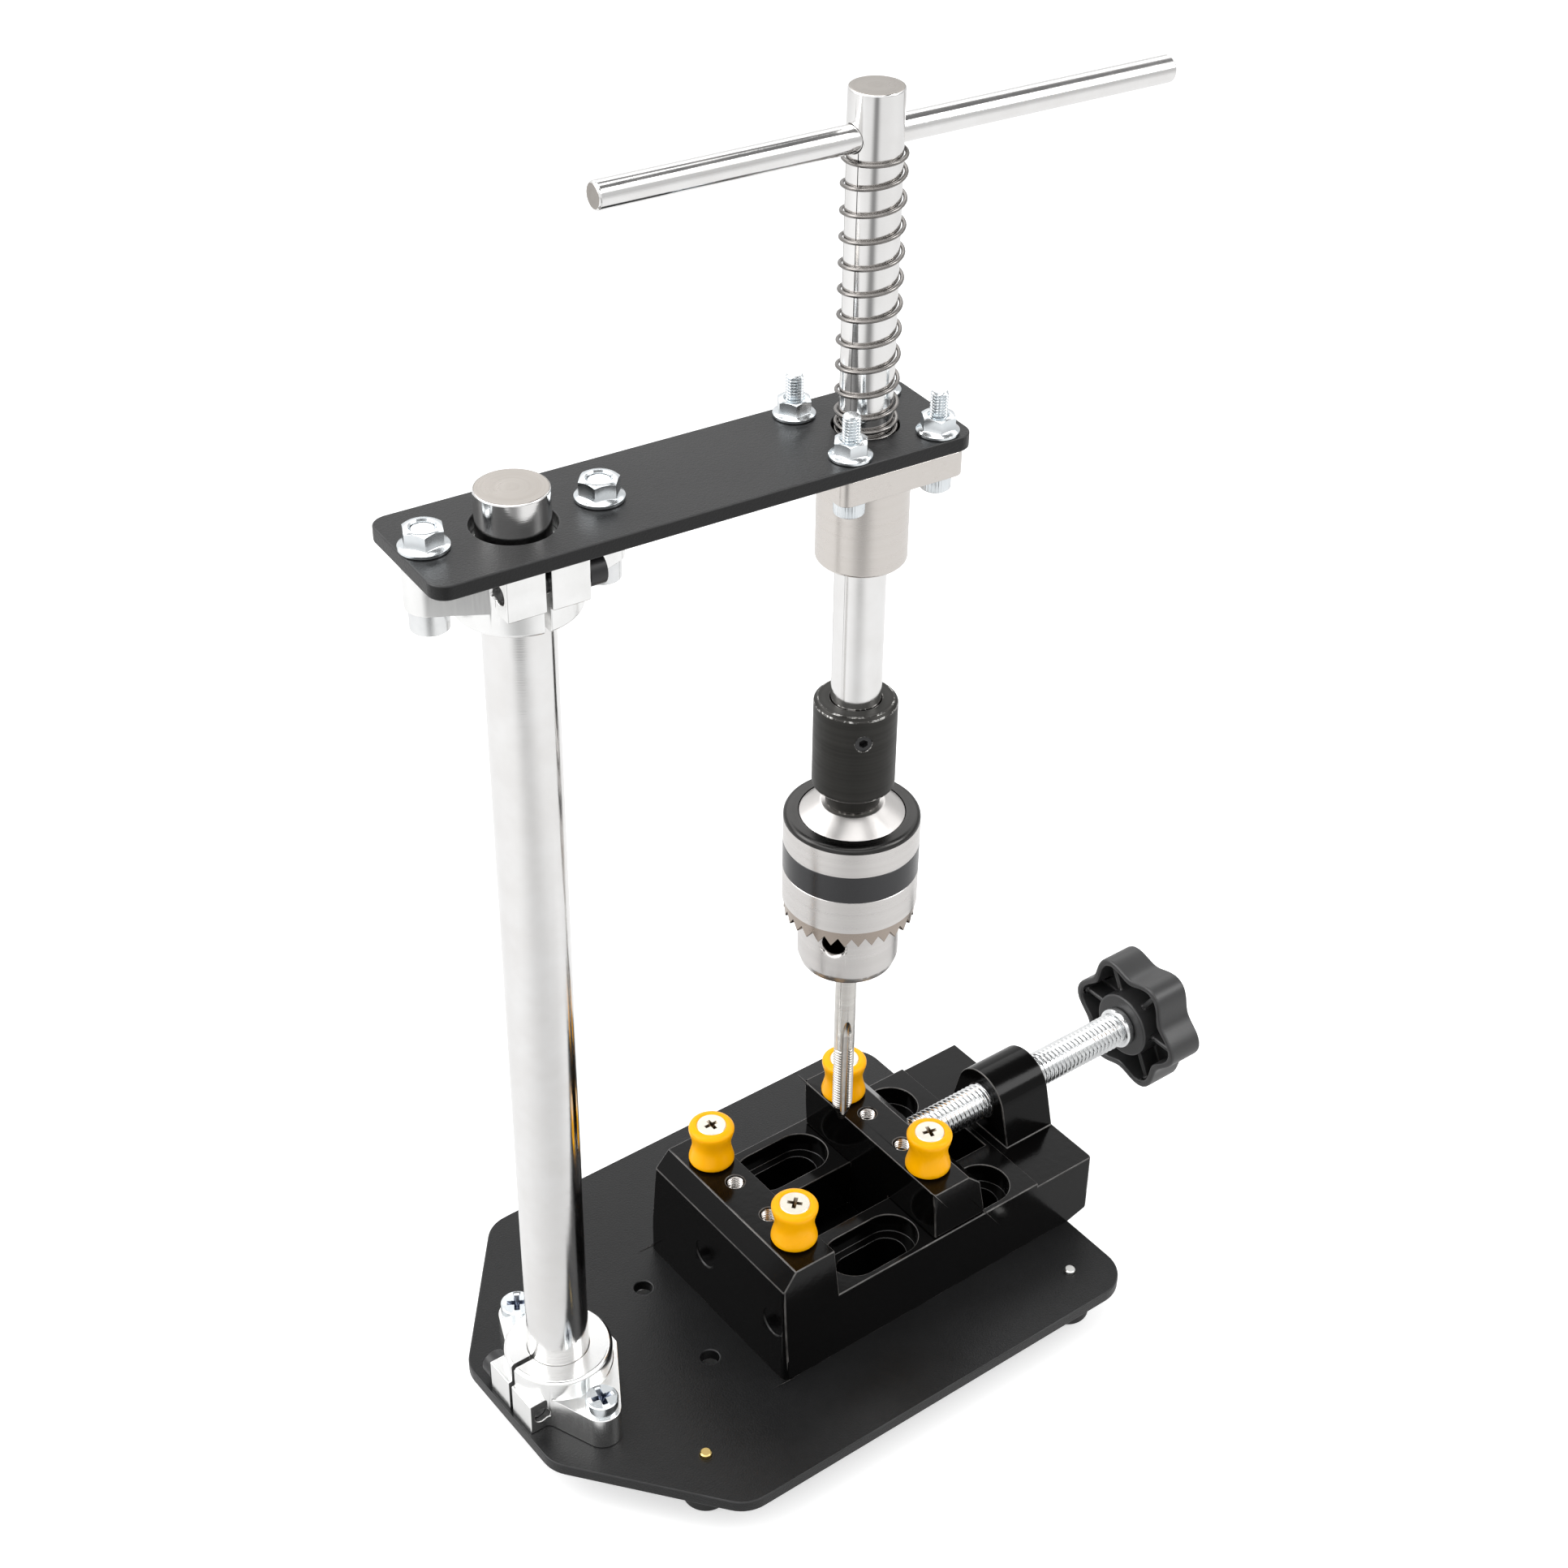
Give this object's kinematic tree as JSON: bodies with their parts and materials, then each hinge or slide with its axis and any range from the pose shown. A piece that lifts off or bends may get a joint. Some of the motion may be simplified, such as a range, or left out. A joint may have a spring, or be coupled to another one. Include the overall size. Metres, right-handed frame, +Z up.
{
  "type": "manual tapping machine",
  "caption": "Hand tapping machine: base plate with a column, a swinging arm with a sprung spindle, a keyed chuck with a tap, and a small flat vise with a lobed knob.",
  "frame": {"origin": "on the bench surface under the middle of the whole machine's box at rest", "axes": "+X runs along the base from the column to the vise's knob, +Y runs across the base, +Z is up"},
  "size_m": [0.231, 0.122, 0.348],
  "materials": {
    "black_coat": "fine-grained black powder coat",
    "rubber": "matt black rubber",
    "brass": "yellow passivated screw",
    "clamp_metal": "bright turned aluminium",
    "black_screw": "black oxide on steel",
    "zinc": "bluish zinc plate",
    "polished": "ground and polished steel",
    "bearing_steel": "satin ground bearing steel",
    "cage": "cream plastic",
    "seal": "black seal rubber",
    "spring_steel": "dark spring wire",
    "black_oxide": "black oxide worn bright on the edges",
    "chuck_steel": "turned steel with dark rings",
    "tap_steel": "ground tool steel",
    "cast": "gloss black enamel on a casting, worn on its edges",
    "post": "glossy orange-yellow plastic",
    "grey_steel": "plain steel",
    "black_plastic": "black moulded plastic"
  },
  "bodies": {
    "base": {"base_plate": "black_coat", "rubber_feet": "rubber", "foot_screws": "brass", "lower_clamp": "clamp_metal", "lower_pinch_screw": "black_screw", "lower_flange_screws": "zinc", "vise_body": "cast", "fixed_posts": "post", "fixed_post_screws": "zinc"},
    "column": {"column": "polished"},
    "arm": {"arm_plate": "black_coat", "upper_clamp": "clamp_metal", "upper_pinch_screw": "black_screw", "upper_flange_screws": "polished", "upper_flange_nuts": "zinc", "bearing_sleeve": "bearing_steel", "bearing_cage": "cage", "bearing_balls": "polished", "bearing_seals": "seal", "bearing_screws": "zinc", "bearing_nuts": "zinc"},
    "spring": {"return_spring": "spring_steel"},
    "spindle": {"spindle": "polished", "coupler": "black_oxide", "coupler_set_screw": "black_screw", "chuck_body": "chuck_steel", "tap": "tap_steel"},
    "handle": {"handle_bar": "polished"},
    "chuck_sleeve": {"chuck_sleeve": "chuck_steel", "chuck_ring": "grey_steel"},
    "chuck_jaw_a": {"chuck_jaw_a": "grey_steel"},
    "chuck_jaw_b": {"chuck_jaw_b": "grey_steel"},
    "chuck_jaw_c": {"chuck_jaw_c": "grey_steel"},
    "moving_jaw": {"moving_jaw": "cast", "moving_posts": "post", "moving_post_screws": "zinc", "guide_plate": "grey_steel", "guide_plate_screws": "zinc", "keeper_pin": "grey_steel"},
    "lead_screw": {"lead_screw": "zinc", "knob": "black_plastic"}
  },
  "joints": [
    {"name": "column_turn", "type": "hinge", "parent": "base", "child": "column", "pos_m": [-0.0891, 0, 0.145], "axis": [0, 0, 1], "range_deg": [-85, 95]},
    {"name": "arm_height", "type": "slide", "parent": "column", "child": "arm", "axis": [0, 0, 1], "range_m": [-0.045, 0.008]},
    {"name": "spindle_feed", "type": "slide", "parent": "arm", "child": "spring", "axis": [0, 0, 1], "range_m": [-0.048, 0], "stiffness_N_per_m": 295, "springref_m": 0.018, "deforming": ["return_spring"]},
    {"name": "spindle_turn", "type": "hinge", "parent": "spring", "child": "spindle", "pos_m": [-0.00344, -0.00771, 0.255], "axis": [0, 0, 1], "continuous": true},
    {"name": "handle_slide", "type": "slide", "parent": "spindle", "child": "handle", "axis": [-0.996, 0.0896, 0], "range_m": [-0.05, 0.06]},
    {"name": "sleeve_turn", "type": "hinge", "parent": "spindle", "child": "chuck_sleeve", "pos_m": [-0.00344, -0.00771, 0.155], "axis": [0, 0, 1], "range_deg": [0, 1242]},
    {"name": "chuck_jaw_a_slide", "type": "slide", "parent": "spindle", "child": "chuck_jaw_a", "axis": [0.0157, -0.2244, 0.9744], "range_m": [0, 0.0069]},
    {"name": "chuck_jaw_b_slide", "type": "slide", "parent": "spindle", "child": "chuck_jaw_b", "axis": [0.1865, 0.1258, 0.9744], "range_m": [0, 0.0069]},
    {"name": "chuck_jaw_c_slide", "type": "slide", "parent": "spindle", "child": "chuck_jaw_c", "axis": [-0.2022, 0.0986, 0.9744], "range_m": [0, 0.0069]},
    {"name": "jaw_slide", "type": "slide", "parent": "base", "child": "moving_jaw", "axis": [1, 0, 0], "range_m": [-0.032, 0.017]},
    {"name": "screw_turn", "type": "hinge", "parent": "moving_jaw", "child": "lead_screw", "pos_m": [0.0609, -0.0049, 0.044], "axis": [1, 0, 0], "range_deg": [-7700, 4100]}
  ],
  "couplings": [
    {"joint": "chuck_jaw_a_slide", "follows": "sleeve_turn", "m_per_rad": 0.00031831},
    {"joint": "chuck_jaw_b_slide", "follows": "sleeve_turn", "m_per_rad": 0.00031831},
    {"joint": "chuck_jaw_c_slide", "follows": "sleeve_turn", "m_per_rad": 0.00031831},
    {"joint": "screw_turn", "follows": "jaw_slide", "rad_per_m": 4188.8}
  ]
}
